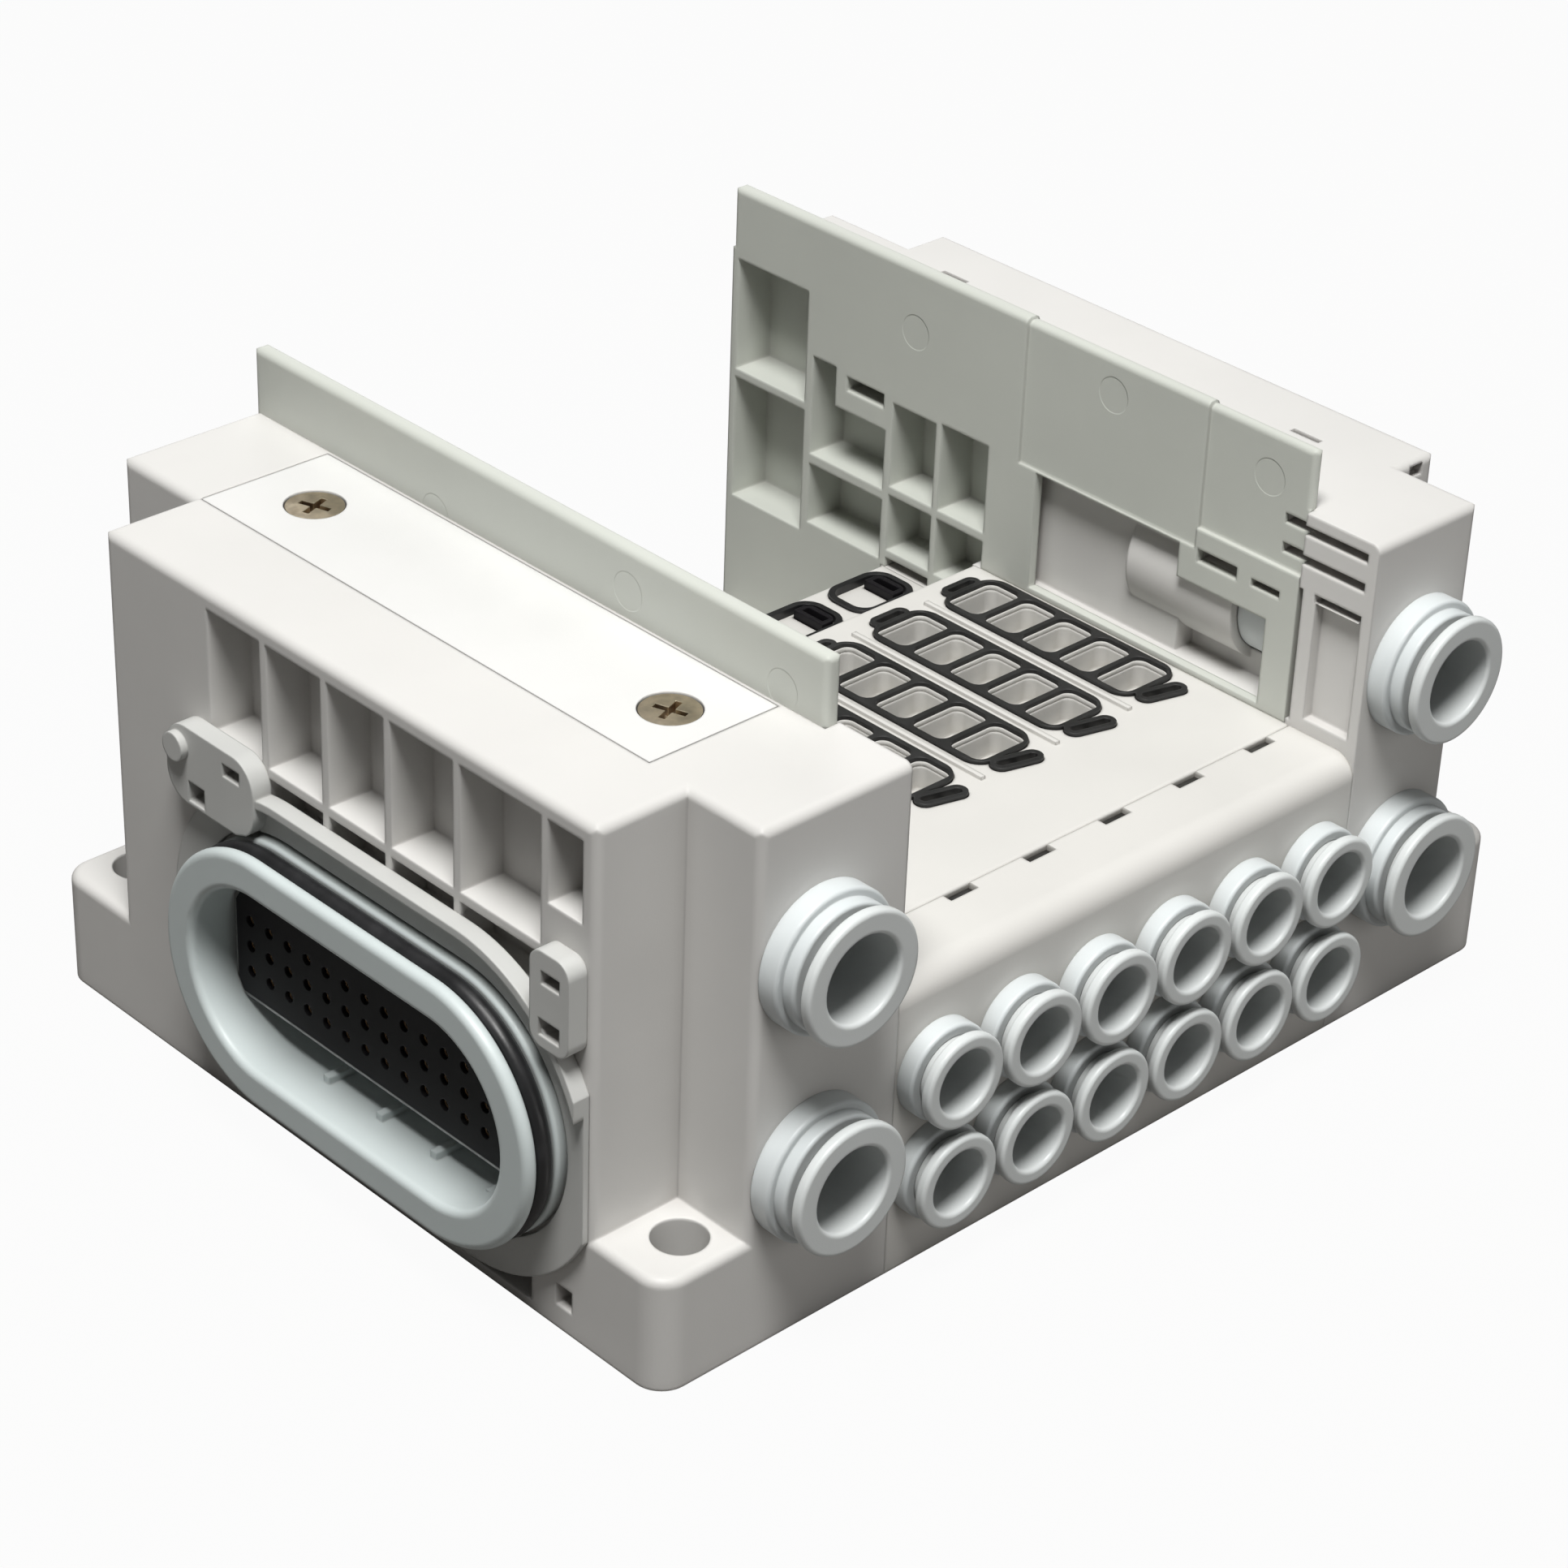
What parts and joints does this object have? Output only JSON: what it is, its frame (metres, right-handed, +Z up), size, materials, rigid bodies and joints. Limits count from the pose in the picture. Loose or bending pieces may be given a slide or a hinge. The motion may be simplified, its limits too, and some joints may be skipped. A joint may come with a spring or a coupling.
{
  "type": "valve manifold base",
  "caption": "Modular pneumatic manifold base with two end blocks, tall side plates, valve seats with gaskets, push-in ports and an oval multi-way connector.",
  "frame": {"origin": "centre of the four foot holes, on the mounting plane", "axes": "+X along the row of stations, away from the connector; +Y from the port face to the rear; +Z up, away from the mounting plane"},
  "size_m": [0.1217, 0.0973, 0.0625],
  "materials": {
    "housing": "fine matt moulded grain",
    "cover": "fine matt moulded grain",
    "base": "smooth moulded plastic, light grey",
    "plate": "smooth moulded plastic, mid grey",
    "frame": "smooth moulded plastic, grey",
    "hood": "satin moulded plastic, pale blue-grey",
    "fitting": "satin moulded plastic, pale blue-grey",
    "ring": "satin moulded plastic, pale blue-grey",
    "rubber": "black rubber, satin",
    "gasket": "black rubber, satin",
    "insulator": "black moulded plastic",
    "contact": "gold-coloured contact",
    "screw": "yellow passivated steel",
    "steel": "bright steel",
    "shell": "thin grey plated metal",
    "clip": "dull spring steel",
    "board": "green laminate"
  },
  "bodies": {
    "manifold": {"connector_end_block": "housing", "end_cover": "cover", "cover_screws": "screw", "left_side_plate": "plate", "connector_retainer": "frame", "connector_hood": "hood", "hood_seal": "rubber", "socket_shell": "shell", "socket_insert": "insulator", "socket_contacts": "contact", "manifold_base": "base", "port_panel": "base", "port_clips": "clip", "supply_end_block": "housing", "ribbed_side_plate": "plate", "wiring_board": "board", "tie_screws": "steel", "gallery_seals": "rubber", "tube_seals": "rubber", "grip_collets": "steel", "fitting_seals": "rubber", "rear_seals": "rubber", "valve_gasket_1": "gasket", "valve_gasket_2": "gasket", "valve_gasket_3": "gasket", "valve_gasket_4": "gasket", "valve_gasket_5": "gasket", "valve_gasket_6": "gasket", "valve_socket_1": "insulator", "valve_socket_2": "insulator", "valve_socket_3": "insulator", "valve_socket_4": "insulator", "valve_socket_5": "insulator", "valve_socket_6": "insulator", "station_fittings_1": "fitting", "station_fittings_2": "fitting", "station_fittings_3": "fitting", "station_fittings_4": "fitting", "station_fittings_5": "fitting", "station_fittings_6": "fitting", "supply_fitting_left": "fitting", "exhaust_fitting_left": "fitting", "supply_fitting_right": "fitting", "exhaust_fitting_right": "fitting"},
    "upper_ring_1": {"upper_ring_1": "ring"},
    "upper_ring_2": {"upper_ring_2": "ring"},
    "upper_ring_3": {"upper_ring_3": "ring"},
    "upper_ring_4": {"upper_ring_4": "ring"},
    "upper_ring_5": {"upper_ring_5": "ring"},
    "upper_ring_6": {"upper_ring_6": "ring"},
    "lower_ring_1": {"lower_ring_1": "ring"},
    "lower_ring_2": {"lower_ring_2": "ring"},
    "lower_ring_3": {"lower_ring_3": "ring"},
    "lower_ring_4": {"lower_ring_4": "ring"},
    "lower_ring_5": {"lower_ring_5": "ring"},
    "lower_ring_6": {"lower_ring_6": "ring"},
    "supply_ring_left": {"supply_ring_left": "ring"},
    "exhaust_ring_left": {"exhaust_ring_left": "ring"},
    "supply_ring_right": {"supply_ring_right": "ring"},
    "exhaust_ring_right": {"exhaust_ring_right": "ring"}
  },
  "joints": [
    {"name": "upper_ring_1_push", "type": "slide", "parent": "manifold", "child": "upper_ring_1", "axis": [0, 1, 0], "range_m": [0, 0.0009], "stiffness_N_per_m": 20},
    {"name": "upper_ring_2_push", "type": "slide", "parent": "manifold", "child": "upper_ring_2", "axis": [0, 1, 0], "range_m": [0, 0.0009], "stiffness_N_per_m": 20},
    {"name": "upper_ring_3_push", "type": "slide", "parent": "manifold", "child": "upper_ring_3", "axis": [0, 1, 0], "range_m": [0, 0.0009], "stiffness_N_per_m": 20},
    {"name": "upper_ring_4_push", "type": "slide", "parent": "manifold", "child": "upper_ring_4", "axis": [0, 1, 0], "range_m": [0, 0.0009], "stiffness_N_per_m": 20},
    {"name": "upper_ring_5_push", "type": "slide", "parent": "manifold", "child": "upper_ring_5", "axis": [0, 1, 0], "range_m": [0, 0.0009], "stiffness_N_per_m": 20},
    {"name": "upper_ring_6_push", "type": "slide", "parent": "manifold", "child": "upper_ring_6", "axis": [0, 1, 0], "range_m": [0, 0.0009], "stiffness_N_per_m": 20},
    {"name": "lower_ring_1_push", "type": "slide", "parent": "manifold", "child": "lower_ring_1", "axis": [0, 1, 0], "range_m": [0, 0.0009], "stiffness_N_per_m": 20},
    {"name": "lower_ring_2_push", "type": "slide", "parent": "manifold", "child": "lower_ring_2", "axis": [0, 1, 0], "range_m": [0, 0.0009], "stiffness_N_per_m": 20},
    {"name": "lower_ring_3_push", "type": "slide", "parent": "manifold", "child": "lower_ring_3", "axis": [0, 1, 0], "range_m": [0, 0.0009], "stiffness_N_per_m": 20},
    {"name": "lower_ring_4_push", "type": "slide", "parent": "manifold", "child": "lower_ring_4", "axis": [0, 1, 0], "range_m": [0, 0.0009], "stiffness_N_per_m": 20},
    {"name": "lower_ring_5_push", "type": "slide", "parent": "manifold", "child": "lower_ring_5", "axis": [0, 1, 0], "range_m": [0, 0.0009], "stiffness_N_per_m": 20},
    {"name": "lower_ring_6_push", "type": "slide", "parent": "manifold", "child": "lower_ring_6", "axis": [0, 1, 0], "range_m": [0, 0.0009], "stiffness_N_per_m": 20},
    {"name": "supply_ring_left_push", "type": "slide", "parent": "manifold", "child": "supply_ring_left", "axis": [0, 1, 0], "range_m": [0, 0.0009], "stiffness_N_per_m": 20},
    {"name": "exhaust_ring_left_push", "type": "slide", "parent": "manifold", "child": "exhaust_ring_left", "axis": [0, 1, 0], "range_m": [0, 0.0009], "stiffness_N_per_m": 20},
    {"name": "supply_ring_right_push", "type": "slide", "parent": "manifold", "child": "supply_ring_right", "axis": [0, 1, 0], "range_m": [0, 0.0009], "stiffness_N_per_m": 20},
    {"name": "exhaust_ring_right_push", "type": "slide", "parent": "manifold", "child": "exhaust_ring_right", "axis": [0, 1, 0], "range_m": [0, 0.0009], "stiffness_N_per_m": 20}
  ]
}
